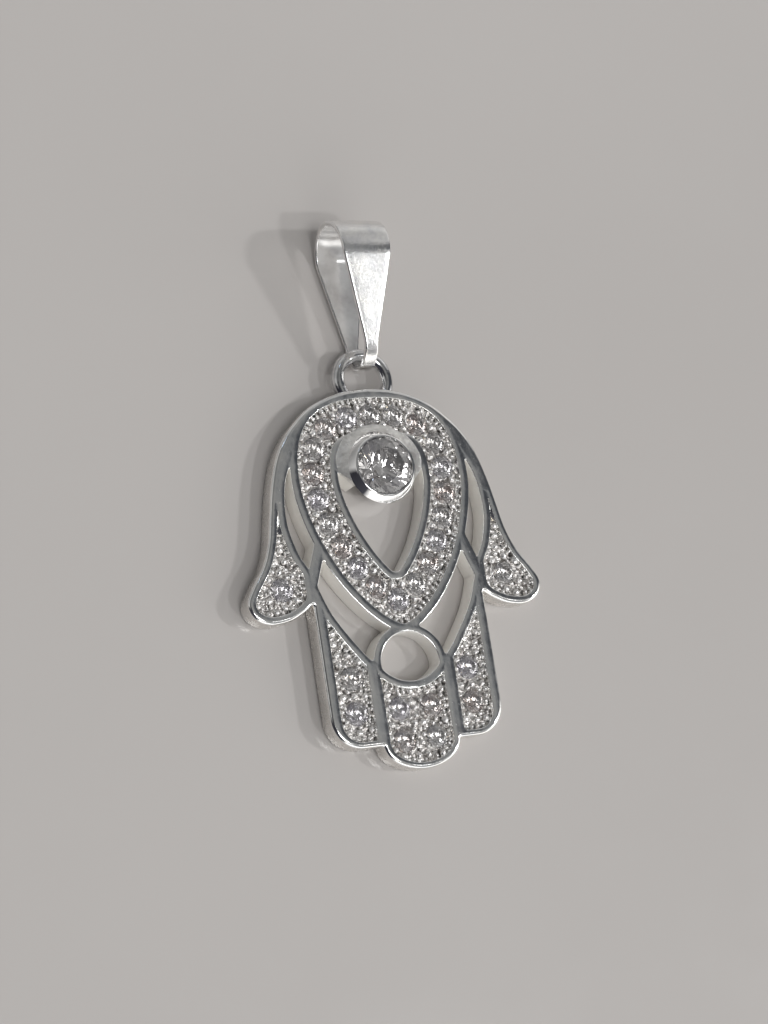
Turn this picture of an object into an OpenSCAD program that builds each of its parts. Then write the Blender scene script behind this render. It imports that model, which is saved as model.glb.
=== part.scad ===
// Hamsa pendant: a pierced silver hand, fingers down, with stones set in its sunk panels, a larger stone
// in a raised cup over the teardrop window, a ring soldered to the top edge and a tapered folded bail.
// It lies on its back. The hand is drawn in the XY plane, fingers towards -Y, and faces +Z.

/* [Hand] */
// Width across the tips of the two thumbs
hand_w = 20.4; // [19.5:0.1:22]
// Height from the tip of the middle finger to the top edge
hand_h = 24.5; // [23.5:0.1:26.5]
// Thickness of the plate
plate_t = 1.6; // [1.5:0.05:2.2]
// Width of the polished rims round the windows and along the edge
rim_w = 0.5; // [0.4:0.02:0.56]
// Width of the rim between the stone band and the side windows
ridge_w = 0.55; // [0.4:0.01:0.65]
// Width of the bars between the upper and the lower side windows
bar_w = 0.78; // [0.5:0.02:1]
// Depth of the stone panels below the polished rims
panel_d = 0.35; // [0.2:0.05:0.5]

/* [Fingers] */
// Width across all three fingers
fingers_w = 11.86; // [11.5:0.05:12.4]
// Width of the middle finger
middle_w = 5.3; // [5:0.05:5.6]
// How far the side fingers end above the tip of the middle one
side_step = 1.65; // [1:0.05:2.4]
// Length of the rounded end of the middle finger
middle_round = 1.7; // [1.2:0.05:2.2]
// Radius of the outer corner of a side finger
side_round = 1.95; // [1.2:0.05:2.2]
// Width of the rims down the outer sides of the side fingers
outer_rim = 0.7; // [0.55:0.05:0.8]
// Width of the rims down the sides of the middle finger
middle_rim = 0.47; // [0.35:0.01:0.6]
// Width of the rims of the side fingers and of the thumbs where they join the next finger
join_rim = 0.35; // [0.25:0.01:0.45]
// Width of the rims round the ends of the fingers
end_rim = 0.39; // [0.3:0.01:0.5]

/* [Teardrop band] */
// Width of the stone band's outer edge
band_outer_w = 11.26; // [10.8:0.02:11.7]
// Width of the band itself
band_w = 2.18; // [2.05:0.01:2.3]
// Height of the band's outer edge above its widest level
band_rise = 5.35; // [5.1:0.05:5.6]
// Depth of the band's pointed end below its widest level
band_drop = 9.4; // [9.1:0.05:9.6]
// Radius of the rounded lower end of the rim inside the band
inner_tip = 1; // [0.7:0.05:1.2]

/* [Small window] */
// Diameter of the arched top of the small window
arch_d = 4; // [3.4:0.05:4.2]
// Radius of the flatter lower edge of the small window
sill_r = 2.6; // [2.4:0.05:3.2]
// Height of the sill's centre above the centre of the arch
sill_shift = 1.5; // [1.2:0.05:1.8]

/* [Stones] */
// Diameter of a small stone
stone_d = 1.5; // [1.3:0.02:1.54]
// Diameter of the middle stone
main_d = 4; // [3.6:0.05:4.2]
// Number of stones round the band
band_stones = 20; // [16:1:20]
// Gap between a stone and the metal that holds it
seat_gap = 0.04; // [0.02:0.01:0.08]
// Diameter of the beads of metal between the small stones
bead_d = 0.46; // [0.36:0.02:0.5]

/* [Cup of the middle stone] */
// Wall of the cup
cup_wall = 0.3; // [0.2:0.02:0.4]
// Height of the cup's rim above the plate
cup_rise = 0.85; // [0.6:0.05:1]
// Height of the cup's sloping edge, which is pressed over the middle stone
edge_h = 0.25; // [0.2:0.01:0.3]
// How far the cup's wall slopes in from its rim to its foot
cup_taper = 0.6; // [0.3:0.05:0.8]
// Height of the cup's foot above the back of the plate
cup_foot = 0.5; // [0.3:0.05:0.8]
// Width of the sloping collar from the cup's rim down to the stones
collar_w = 0.62; // [0.4:0.02:0.8]

/* [Ring] */
// Outer diameter of the soldered ring
ring_d = 4.24; // [3.8:0.02:4.6]
// Diameter of the ring's wire
wire_d = 0.8; // [0.7:0.02:0.9]
// Height of the ring's centre above the hand's top edge
ring_rise = 0.65; // [0.5:0.05:0.9]
// Depth of the top of the ring's wire below the face of the plate
ring_drop = 0.2; // [0:0.05:0.3]

/* [Bail] */
// Length of the bail over its two round ends
bail_len = 9.8; // [9:0.1:12]
// Thickness of the bail's strip
strip_t = 0.35; // [0.25:0.05:0.45]
// Height of the round end that the chain runs through
bail_high = 4.84; // [4.2:0.02:5.6]
// Height of the small end that holds the ring
bail_low = 3.4; // [3.2:0.02:3.8]
// Width of the strip at the round end
bail_wide = 3.75; // [3:0.05:4.4]
// Width of the strip at the ring
bail_narrow = 0.92; // [0.8:0.02:1.2]
// Gap between the bail and the ring's wire
bail_gap = 0.1; // [0.06:0.01:0.16]

/* [Hidden] */
half_w = hand_w / 2;
floor_z = plate_t - panel_d; // the floor of the stone panels
cut = 1; // how far a cut runs past a face
window_corner = 0.1; // radius of the corners of the windows and of the side fingers' panels
thumb_corner = 0.5; // radius of the lower corners of a thumb's panel
thumb_tip = 0.15; // radius of its upper end
steps = 5; // straight pieces in each span of a smooth curve
egg_n = 56; // points round the band's outline
path_n = 160; // points round the line that the band's stones follow

// Levels on the hand, as shares of its height
BAND_SHARE = 0.755; // the widest level of the band
ARCH_SHARE = 0.269; // the centre of the small window's arch
FINGER_SHARE = 0.45; // the fingers run up into the body to here
SIDE_PANEL_SHARE = 0.42;
THUMB_PANEL_SHARE = 0.7;
THUMB_NECK_SHARE = 0.49; // above this the thumb's panel narrows to a point

// Places of the cup and of what joins the plate
CUP_SHARE = 0.16; // share of the middle stone's width that its centre lies above the band's widest level
COLLAR_TOP = 0.8; // share of the cup's rise at which the collar meets the cup
// Lower edge of the right half of the collar, from inside the cup to the rim, where it slants down to the
// cup: places from the cup's centre, as shares of the collar's radius
COLLAR_EDGE = [[0.42, 0.08], [0.66, -0.37], [1, -0.04]];
SINK_SHARE = 0.55; // share of the wire that the ring's ends reach into the plate
BEAD_SHARE = 0.2; // share of a bead that its centre lies above the panels' floor

// Right half of the body's outline, from the top to the armpit:
// [share of half the hand's width, share of the hand's height]
BODY = [
    [0.000, 1.000], [0.196, 0.991], [0.395, 0.959], [0.530, 0.914], [0.623, 0.869],
    [0.691, 0.816], [0.745, 0.743], [0.782, 0.669], [0.814, 0.604], [0.868, 0.547],
    [0.951, 0.496], [1.000, 0.453], [0.966, 0.416], [0.873, 0.397], [0.745, 0.402],
    [0.647, 0.420], [0.583, 0.439],
];

// Right side of the leaf that bounds the side windows, from its top to the tips of the lower windows:
// the same two shares
LEAF = [
    [0.560, 0.830], [0.626, 0.780], [0.660, 0.735], [0.674, 0.680], [0.668, 0.632], [0.629, 0.571],
    [0.576, 0.529], [0.536, 0.482], [0.466, 0.408], [0.338, 0.327], [0.260, 0.286],
];

// The two ends of the bar between the right side windows: the same two shares
BAR = [[0.475, 0.598], [0.583, 0.478]];

// Stones that are set outside the band, right side: the same two shares
SET_STONES = [
    [0.110, 0.158], [0.110, 0.077], // middle finger
    [0.397, 0.245], [0.397, 0.156], // side finger
    [0.760, 0.484], // thumb
];

// Beads that are set outside the band, right side: the same two shares
SET_BEADS = [
    [0.028, 0.200], [0.180, 0.196], [0.028, 0.118], [0.180, 0.118], [0.034, 0.036], [0.130, 0.035],
    [0.324, 0.200], [0.397, 0.200], [0.472, 0.200], [0.318, 0.112], [0.397, 0.108], [0.466, 0.110],
    [0.338, 0.286], [0.468, 0.282], [0.408, 0.304], [0.470, 0.308], [0.436, 0.331], [0.488, 0.334],
    [0.484, 0.362], [0.500, 0.386],
    [0.680, 0.455], [0.760, 0.439], [0.856, 0.458], [0.842, 0.512], [0.690, 0.518], [0.770, 0.530],
    [0.724, 0.556], [0.738, 0.584], [0.742, 0.610], [0.820, 0.428],
];

// Width of the bail's strip between the ring and the round end:
// [share of the distance between its two ends, share of the growth in width]
BAIL_SIDE = [[0, 0], [0.49, 0.42], [0.97, 0.83]];

// The egg shapes of the band: powers of the curve above and below the widest level, and how the sides
// run down to the point, for the outline and for the line of stones
TOP_POWER = 2.6;
TIP_POWER = 1.7;
OUTLINE_TIP = 0.7;
STONES_TIP = 0.72;
STONES_SHARE = 0.73; // share of the band's width between its point and the lowest stone's centre

// Proportions of a cut stone, as shares of its radius
TABLE_SHARE = 0.56;
STAR_SHARE = 0.80;
LOWER_SHARE = 0.22;
CROWN_SHARE = 0.32;
GIRDLE_SHARE = 0.05;
PAVILION_SHARE = 0.86;
LIP_SHARE = 0.93; // the cup's lip turns in over the middle stone to here
LIP_H = 0.08; // height of the lip
EDGE_SHARE = 1; // outer radius of the cup's top

// The band, the windows and the cup
egg_y = hand_h * BAND_SHARE;
arch_y = hand_h * ARCH_SHARE;
sill_y = arch_y + sill_shift;
main_r = main_d / 2;
main_y = egg_y + main_d * CUP_SHARE;
cup_r = main_r + cup_wall;
cup_z = plate_t + cup_rise;
foot_r = cup_r - cup_taper;
collar_r = cup_r + collar_w;
collar_h = cup_rise * COLLAR_TOP;

// Levels of the stones: the lower edge of the girdle
lip_t = main_r * LIP_H;
small_z = floor_z + seat_gap;
main_z = cup_z - lip_t - seat_gap - main_r * GIRDLE_SHARE;

// The ring's centre line
ring_r = (ring_d - wire_d) / 2;
ring_y = hand_h + ring_rise;
ring_z = plate_t - ring_drop - wire_d / 2;
ring_sink = wire_d * SINK_SHARE;

// The bail: radii of its two ends, the distance between them and its tilt on the surface
big_r = bail_high / 2;
small_r = bail_low / 2;
bail_span = bail_len - big_r - small_r;
bail_tilt = asin((big_r - small_r) / bail_span);
// The small end's centre: the ring's wire lies inside its curve, at the gap from it
wire_reach = small_r - strip_t - wire_d / 2 - bail_gap;
wire_down = small_r - ring_z;
bail_y = ring_y + ring_r + sqrt(max(wire_reach * wire_reach - wire_down * wire_down, 0));

// Middle of the whole length, where the origin lies
mid_y = (bail_y + bail_span * cos(bail_tilt) + big_r) / 2;

function place(share) = [share.x * half_w, share.y * hand_h];

// A place on the right side, then the same place on the left
function both(share) = [for (side = [1, -1]) [side * share.x * half_w, share.y * hand_h]];

// A point between p1 and p2 on a smooth curve through four points
function curve_point(p0, p1, p2, p3, t) =
    0.5 * (2 * p1 + (p2 - p0) * t + (2 * p0 - 5 * p1 + 4 * p2 - p3) * t * t
        + (3 * p1 - p0 - 3 * p2 + p3) * t * t * t);

// A smooth open curve through a list of points
function smooth(p) = let(last = len(p) - 1) [
    for (i = [0:last - 1], k = [0:steps - 1])
        curve_point(p[max(i - 1, 0)], p[i], p[i + 1], p[min(i + 2, last)], k / steps),
    p[last],
];

function flipped(p) = [for (i = [len(p) - 1:-1:0]) [-p[i].x, p[i].y]];

// A point of an egg with a pointed lower end; angle 0 is at its right, 90 at its top
function egg_point(half, rise, drop, tip, angle) =
    let(c = cos(angle), s = sin(angle), side = c < 0 ? -1 : 1)
    s >= 0
        ? [side * half * pow(abs(c), 2 / TOP_POWER), egg_y + rise * pow(s, 2 / TOP_POWER)]
        : [side * half * pow(max(1 - pow(-s, TIP_POWER), 0), tip), egg_y + drop * s];

// Length along a list of points, up to each of them
function run(p, i = 0, sum = 0) =
    i == len(p) ? [] : let(now = i == 0 ? 0 : sum + norm(p[i] - p[i - 1])) concat([now], run(p, i + 1, now));

// The point at length s along a list of points
function along(p, lengths, s, i = 0) =
    s <= lengths[i + 1] || i == len(p) - 2
        ? p[i] + (p[i + 1] - p[i]) * (s - lengths[i]) / (lengths[i + 1] - lengths[i])
        : along(p, lengths, s, i + 1);

// Centres of the band's stones, evenly spaced along its middle from the top
path_half = (band_outer_w - band_w) / 2;
path_rise = band_rise - band_w / 2;
path_drop = band_drop - band_w * STONES_SHARE;
path = [for (k = [0:path_n]) egg_point(path_half, path_rise, path_drop, STONES_TIP, 90 + k * 360 / path_n)];
path_run = run(path);
band_pitch = path_run[path_n] / band_stones;
band_places = [for (i = [0:band_stones - 1]) along(path, path_run, i * band_pitch)];
small_places = concat(band_places, [for (s = SET_STONES) each both(s)]);

// Beads stand on both sides of each gap between two stones of the band
bead_z = floor_z + bead_d * BEAD_SHARE;
bead_reach = stone_d / 2 + seat_gap + bead_d / 2;
function bead_pair(a, b) =
    let(step = b - a, half = norm(step) / 2, off = sqrt(max(bead_reach * bead_reach - half * half, 0)))
    [for (side = [1, -1]) (a + b) / 2 + side * off * [-step.y, step.x] / (2 * half)];
band_beads = [
    for (i = [0:band_stones - 1]) each bead_pair(band_places[i], band_places[(i + 1) % band_stones])
];
bead_places = concat(band_beads, [for (s = SET_BEADS) each both(s)]);

// Outlines of the hand, drawn flat

module body_outline() {
    right = smooth([for (s = BODY) place(s)]);
    polygon(concat(flipped(right), [for (i = [1:len(right) - 1]) right[i]]));
}

module middle_finger(inset = 0, inset_end = 0) {
    half = middle_w / 2 - inset;
    translate([0, middle_round]) scale([half, middle_round - inset_end]) circle(1, $fn = 64);
    translate([-half, middle_round]) square([2 * half, hand_h * FINGER_SHARE - middle_round]);
}

// The right side finger, from the given distance off the hand's middle line
module side_finger(inner = 0, inset = 0, inset_end = 0) {
    outer = fingers_w / 2 - inset;
    r = side_round - inset;
    base = side_step + inset_end;
    top = hand_h * FINGER_SHARE;
    polygon(concat(
        [[inner, top], [inner, base], [outer - r, base]],
        [for (angle = [9:9:90]) [outer - r + r * sin(angle), base + r - r * cos(angle)]],
        [[outer, top]]
    ));
}

module hand_outline() {
    body_outline();
    middle_finger();
    for (side = [0, 1]) mirror([side, 0]) side_finger();
}

// Outer edge of the stone band
module egg() {
    polygon([
        for (k = [0:egg_n - 1])
            egg_point(band_outer_w / 2, band_rise, band_drop, OUTLINE_TIP, k * 360 / egg_n)
    ]);
}

// What lies inside the stone band: the inner rim, the teardrop window and the cup
module island() {
    offset(r = inner_tip, $fn = 48) offset(delta = -band_w - inner_tip) egg();
}

module leaf() {
    right = smooth([for (s = LEAF) place(s)]);
    polygon(concat(flipped(right), right));
}

module small_window() {
    intersection() {
        translate([0, arch_y]) circle(arch_d / 2, $fn = 72);
        translate([0, sill_y]) circle(sill_r, $fn = 96);
    }
}

// The bars that part the upper side windows from the lower ones
module bars() {
    a = place(BAR[0]);
    b = place(BAR[1]);
    across = [-(b - a).y, (b - a).x] / norm(b - a) * bar_w / 2;
    for (side = [0, 1]) mirror([side, 0]) polygon([a - across, b - across, b + across, a + across]);
}

// Corners that point outwards are rounded
module rounded(r) {
    offset(r = r, $fn = 32) offset(delta = -r) children();
}

module side_windows() {
    rounded(window_corner) difference() {
        leaf();
        offset(delta = ridge_w) egg();
        translate([0, arch_y]) circle(arch_d / 2 + rim_w, $fn = 72);
        bars();
    }
}

// What the collar covers, in plan: all above the upper end of the teardrop window
module collar_area() {
    edge = [for (s = COLLAR_EDGE) [0, main_y] + s * collar_r];
    right = concat(edge, [[half_w, edge[2].y], [half_w, hand_h]]);
    polygon(concat(right, flipped(right)));
}

module teardrop_window() {
    difference() {
        offset(delta = -rim_w) island();
        collar_area();
    }
}

module band_panel() {
    difference() {
        egg();
        island();
        translate([0, main_y]) circle(collar_r, $fn = 96);
    }
}

module middle_panel() {
    difference() {
        middle_finger(middle_rim, end_rim);
        translate([0, sill_y]) circle(sill_r + rim_w, $fn = 96);
        translate([-half_w, sill_y - rim_w]) square([hand_w, hand_h]);
    }
}

module side_panel() {
    rounded(window_corner) difference() {
        side_finger(middle_w / 2 + join_rim, outer_rim, end_rim);
        offset(delta = rim_w) leaf();
        translate([0, hand_h * SIDE_PANEL_SHARE]) square(half_w);
    }
}

module thumb_area() {
    difference() {
        offset(delta = -rim_w) body_outline();
        offset(delta = rim_w) leaf();
        translate([-half_w, 0]) square([half_w + fingers_w / 2 + join_rim, hand_h]);
        translate([0, hand_h * THUMB_PANEL_SHARE]) square(hand_h);
    }
}

// Round at its lower corners and narrow at its top
module thumb_panel() {
    rounded(thumb_corner) thumb_area();
    intersection() {
        rounded(thumb_tip) thumb_area();
        translate([0, hand_h * THUMB_NECK_SHARE]) square(hand_h);
    }
}

module stone_panels() {
    band_panel();
    middle_panel();
    for (side = [0, 1]) mirror([side, 0]) {
        side_panel();
        thumb_panel();
    }
}

// Solids of the hand

// The seat under a small stone: a cone that follows its lower facets
module seat() {
    r = stone_d / 2 + seat_gap;
    translate([0, 0, small_z - r * PAVILION_SHARE]) cylinder(h = r * PAVILION_SHARE, r1 = 0, r2 = r);
    translate([0, 0, small_z]) cylinder(h = plate_t, r = r);
}

// The cup, and the collar that joins all but its lowest part to the plate
module cup_solid() {
    wall_z = cup_z - edge_h;
    translate([0, main_y, cup_foot]) cylinder(h = wall_z - cup_foot, r1 = foot_r, r2 = cup_r);
    translate([0, main_y, wall_z]) cylinder(h = edge_h, r1 = cup_r, r2 = main_r * EDGE_SHARE);
    intersection() {
        translate([0, main_y, plate_t]) cylinder(h = collar_h, r1 = collar_r, r2 = cup_r - cup_wall / 2);
        linear_extrude(cup_z) collar_area();
    }
}

// The inside of the cup: a hole through its foot, a seat that follows the stone's lower facets, the
// space of the girdle and a lip that turns in over the stone's edge
module cup_inside() {
    r = main_r + seat_gap;
    hole_r = foot_r - cup_wall;
    seat_h = (r - hole_r) * PAVILION_SHARE;
    girdle_z = main_z - seat_gap;
    girdle_h = main_r * GIRDLE_SHARE + 2 * seat_gap;
    translate([0, main_y, 0]) {
        translate([0, 0, -cut]) cylinder(h = girdle_z + cut, r = hole_r);
        translate([0, 0, girdle_z - seat_h]) cylinder(h = seat_h, r1 = hole_r, r2 = r);
        translate([0, 0, girdle_z]) cylinder(h = girdle_h, r = r);
        translate([0, 0, girdle_z + girdle_h]) cylinder(h = lip_t, r1 = r, r2 = main_r * LIP_SHARE);
        translate([0, 0, main_z]) cylinder(h = cup_rise + cut, r = main_r * LIP_SHARE);
    }
}

module ring() {
    sweep = 180 + 2 * asin((ring_rise + ring_sink) / ring_r);
    translate([0, ring_y, ring_z]) rotate([0, 0, 90 - sweep / 2])
        rotate_extrude(angle = sweep, $fn = 96) translate([ring_r, 0]) circle(wire_d / 2, $fn = 48);
}

module plate() {
    difference() {
        linear_extrude(plate_t) difference() {
            hand_outline();
            side_windows();
            teardrop_window();
            small_window();
        }
        translate([0, 0, floor_z]) linear_extrude(panel_d + cut) stone_panels();
    }
}

module hand_frame() {
    color("silver") translate([0, -mid_y, 0]) difference() {
        union() {
            plate();
            cup_solid();
            ring();
            for (p = bead_places) translate([p.x, p.y, bead_z]) sphere(bead_d / 2, $fn = 24);
        }
        cup_inside();
        for (p = small_places) translate(p) seat();
    }
}

// Side view of the bail's loop, drawn in by the given inset: two round ends joined by straight legs
module loop_shape(inset) {
    a = bail_tilt;
    r1 = small_r - inset;
    r2 = big_r - inset;
    circle(r1, $fn = 64);
    translate([bail_span, 0]) circle(r2, $fn = 96);
    polygon([
        [-r1 * sin(a), -r1 * cos(a)], [bail_span - r2 * sin(a), -r2 * cos(a)],
        [bail_span - r2 * sin(a), r2 * cos(a)], [-r1 * sin(a), r1 * cos(a)],
    ]);
}

// Plan of the bail's strip: narrow at the ring, widening towards the round end
module strip_plan() {
    narrow = bail_narrow / 2;
    wide = bail_wide / 2;
    right = smooth(concat(
        [[narrow, -small_r - cut]],
        [for (s = BAIL_SIDE) [narrow + (wide - narrow) * s.y, bail_span * s.x]],
        [[wide, bail_span + big_r + cut]]
    ));
    polygon(concat(right, flipped(right)));
}

module bail() {
    color("gainsboro") translate([0, bail_y - mid_y, small_r]) rotate([bail_tilt, 0, 0]) intersection() {
        rotate([90, 0, 90]) translate([0, 0, -bail_wide / 2 - cut]) linear_extrude(bail_wide + 2 * cut)
            difference() {
                loop_shape(0);
                loop_shape(strip_t);
            }
        translate([0, 0, -bail_high]) linear_extrude(2 * bail_high) strip_plan();
    }
}

// Points of a stone, evenly spaced round its axis
function circle_points(r, n, turn, z) =
    [for (k = [0:n - 1]) [r * cos(k * 360 / n + turn), r * sin(k * 360 / n + turn), z]];

// A round brilliant: table, star, kite and edge facets above the girdle, edge and main facets below
module brilliant(d) {
    r = d / 2;
    girdle = GIRDLE_SHARE * r;
    star_z = girdle + CROWN_SHARE * r * (1 - STAR_SHARE * cos(22.5)) / (1 - TABLE_SHARE);
    low_z = -PAVILION_SHARE * r * (1 - LOWER_SHARE * cos(22.5));
    star = 8;
    upper = 16;
    lower = 32;
    low = 48;
    culet = 56;
    polyhedron(
        concat(
            circle_points(TABLE_SHARE * r, 8, 0, girdle + CROWN_SHARE * r),
            circle_points(STAR_SHARE * r, 8, 22.5, star_z),
            circle_points(r, 16, 0, girdle),
            circle_points(r, 16, 0, 0),
            circle_points(LOWER_SHARE * r, 8, 22.5, low_z),
            [[0, 0, -PAVILION_SHARE * r]]
        ),
        concat(
            [[for (k = [7:-1:0]) k]],
            [for (k = [0:7]) [k, (k + 1) % 8, star + k]],
            [for (k = [0:7]) [k, star + k, upper + 2 * k, star + (k + 7) % 8]],
            [for (k = [0:7]) [star + k, upper + 2 * k + 1, upper + 2 * k]],
            [for (k = [0:7]) [star + k, upper + (2 * k + 2) % 16, upper + 2 * k + 1]],
            [for (k = [0:15]) [upper + k, upper + (k + 1) % 16, lower + (k + 1) % 16, lower + k]],
            [for (k = [0:7]) [lower + 2 * k, lower + 2 * k + 1, low + k]],
            [for (k = [0:7]) [lower + 2 * k + 1, lower + (2 * k + 2) % 16, low + k]],
            [for (k = [0:7]) [lower + 2 * k, low + k, culet, low + (k + 7) % 8]]
        )
    );
}

module main_stone() {
    color("lightgray") translate([0, main_y - mid_y, main_z]) brilliant(main_d);
}

module small_stone(p) {
    color("whitesmoke") translate([p.x, p.y - mid_y, small_z]) brilliant(stone_d);
}

hand_frame();
bail();
main_stone();
for (i = [1:len(small_places)])
    small_stone(small_places[i - 1]);
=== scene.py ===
"""Hamsa pendant: the silver hand with its rims, panels, beads, cup and ring, the bail and the stones."""
import math
import random

import bmesh
import bpy
import numpy as np
from mathutils import Matrix, Vector, geometry, noise


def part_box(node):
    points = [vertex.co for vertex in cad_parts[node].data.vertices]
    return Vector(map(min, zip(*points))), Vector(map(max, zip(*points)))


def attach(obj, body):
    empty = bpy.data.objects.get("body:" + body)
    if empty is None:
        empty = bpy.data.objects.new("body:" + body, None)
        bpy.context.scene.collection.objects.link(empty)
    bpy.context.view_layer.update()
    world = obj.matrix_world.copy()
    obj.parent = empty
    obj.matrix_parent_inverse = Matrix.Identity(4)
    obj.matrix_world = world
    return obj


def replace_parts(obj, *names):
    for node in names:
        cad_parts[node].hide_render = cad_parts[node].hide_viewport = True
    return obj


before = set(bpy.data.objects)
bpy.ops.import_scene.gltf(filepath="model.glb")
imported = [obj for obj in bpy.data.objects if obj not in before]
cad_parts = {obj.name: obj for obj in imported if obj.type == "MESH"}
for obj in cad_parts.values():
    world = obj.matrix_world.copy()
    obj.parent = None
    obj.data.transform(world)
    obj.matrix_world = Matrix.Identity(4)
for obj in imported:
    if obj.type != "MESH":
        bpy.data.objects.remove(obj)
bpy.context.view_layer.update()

MM = 0.001
rng = random.Random(11)

# Sizes in millimetres, as the solids have them
HAND_W, HAND_H, PLATE_T = 20.4, 24.5, 1.6
RIM, RIDGE, BAR_W, PANEL_D = 0.5, 0.55, 0.78, 0.35
FINGERS_W, MIDDLE_W, SIDE_STEP = 11.86, 5.3, 1.65
MIDDLE_ROUND, SIDE_ROUND = 1.7, 1.95
OUTER_RIM, MIDDLE_RIM, JOIN_RIM, END_RIM = 0.7, 0.47, 0.35, 0.39
BAND_OUTER_W, BAND_W, BAND_RISE, BAND_DROP, INNER_TIP = 11.26, 2.18, 5.35, 9.4, 1.0
ARCH_D, SILL_R, SILL_SHIFT = 4.0, 2.6, 1.5
STONE_D, MAIN_D, SEAT_GAP, BEAD_D = 1.5, 4.0, 0.04, 0.46
CUP_WALL, CUP_RISE, CUP_EDGE, CUP_TAPER, CUP_FOOT, COLLAR_W = 0.3, 0.85, 0.25, 0.6, 0.5, 0.62
RING_D, WIRE_D, RING_RISE, RING_DROP = 4.24, 0.8, 0.65, 0.2
SINK_SHARE = 0.55  # share of the wire that the ring's ends reach into the plate
BAIL_LEN, BAIL_HIGH, BAIL_LOW, BAIL_WIDE, BAIL_NARROW = 9.8, 4.84, 3.4, 3.75, 0.92
STRIP_T, BAIL_GAP = 0.35, 0.1

# Levels on the hand, as shares of its height
BAND_SHARE, ARCH_SHARE, FINGER_SHARE = 0.755, 0.269, 0.45
SIDE_PANEL_SHARE, THUMB_PANEL_SHARE, THUMB_NECK_SHARE = 0.42, 0.7, 0.49
CUP_SHARE = 0.16  # share of the middle stone's width that its centre lies above the band's widest level
THUMB_CORNER = 0.5  # radius of the lower corners of a thumb's panel

HALF_W = HAND_W / 2
FLOOR_Z = PLATE_T - PANEL_D
MID_Y = -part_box("hand_frame")[0].y / MM  # shapes start at the lowest finger tip, the frame in the middle
EGG_Y = HAND_H * BAND_SHARE
ARCH_Y = HAND_H * ARCH_SHARE
SILL_Y = ARCH_Y + SILL_SHIFT
CUP_Y = EGG_Y + MAIN_D * CUP_SHARE
CUP_R = MAIN_D / 2 + CUP_WALL
CUP_Z = PLATE_T + CUP_RISE
FOOT_R = CUP_R - CUP_TAPER
COLLAR_R = CUP_R + COLLAR_W
COLLAR_H = CUP_RISE * 0.5
COLLAR_EDGE = [(0.42, 0.08), (0.66, -0.37), (1.0, -0.04)]  # shares of its radius, from the cup's centre

# Shares of half the hand's width and of its height: the body's right edge and the leaf of the side windows
BODY = [
    (0.000, 1.000), (0.196, 0.991), (0.395, 0.959), (0.530, 0.914), (0.623, 0.869),
    (0.691, 0.816), (0.745, 0.743), (0.782, 0.669), (0.814, 0.604), (0.868, 0.547),
    (0.951, 0.496), (1.000, 0.453), (0.966, 0.416), (0.873, 0.397), (0.745, 0.402),
    (0.647, 0.420), (0.583, 0.439),
]
LEAF = [
    (0.560, 0.830), (0.626, 0.780), (0.660, 0.735), (0.674, 0.680), (0.668, 0.632), (0.629, 0.571),
    (0.576, 0.529), (0.536, 0.482), (0.466, 0.408), (0.338, 0.327), (0.260, 0.286),
]
BAR = [(0.475, 0.598), (0.583, 0.478)]  # ends of the middle line of a bar between the side windows
# Beads set one by one on both sides, in the same shares: three fingers, then the thumbs
SET_BEADS = [
    (0.028, 0.200), (0.180, 0.196), (0.028, 0.118), (0.180, 0.118), (0.034, 0.036), (0.130, 0.035),
    (0.324, 0.200), (0.397, 0.200), (0.472, 0.200), (0.318, 0.112), (0.397, 0.108), (0.466, 0.110),
    (0.338, 0.286), (0.468, 0.282), (0.408, 0.304), (0.470, 0.308), (0.436, 0.331), (0.488, 0.334),
    (0.484, 0.362), (0.500, 0.386),
    (0.680, 0.455), (0.760, 0.439), (0.856, 0.458), (0.842, 0.512), (0.690, 0.518), (0.770, 0.530),
    (0.724, 0.556), (0.738, 0.584), (0.742, 0.610), (0.820, 0.428),
]


# Materials

WHITE_SILVER = (0.93, 0.92, 0.90)
# Painted shade for the low places of the pavé, the depths of the seats and the feet of the beads
PAINTED_SHADE_COLOUR = (0.07, 0.062, 0.058)
PALE_STONE = (0.97, 0.955, 0.95)
WAVE_SCALE = 450.0


def node_material(name):
    material = bpy.data.materials.new(name)
    material.use_nodes = True
    nodes = material.node_tree.nodes
    return material, nodes, material.node_tree.links, nodes["Principled BSDF"]


def add_noise(nodes, links, scale, detail, coords):
    texture = nodes.new("ShaderNodeTexNoise")
    texture.inputs["Scale"].default_value = scale
    texture.inputs["Detail"].default_value = detail
    texture.inputs["Roughness"].default_value = 0.6
    links.new(coords["Object"], texture.inputs["Vector"])
    return texture


def spread(nodes, links, source, low, high, to_low, to_high):
    """A value between from low and high, mapped to another range."""
    span = nodes.new("ShaderNodeMapRange")
    for socket, value in (("From Min", low), ("From Max", high), ("To Min", to_low), ("To Max", to_high)):
        span.inputs[socket].default_value = value
    links.new(source, span.inputs["Value"])
    return span.outputs["Result"]


def two_tones(nodes, links, source, low, high, first, second):
    """The first colour where a value is low and the second where it is high."""
    ramp = nodes.new("ShaderNodeValToRGB")
    for element, position, tint in zip(ramp.color_ramp.elements, (low, high), (first, second)):
        element.position = position
        element.color = (*tint, 1)
    links.new(source.outputs["Fac"], ramp.inputs["Fac"])
    return ramp.outputs["Color"]


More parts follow.
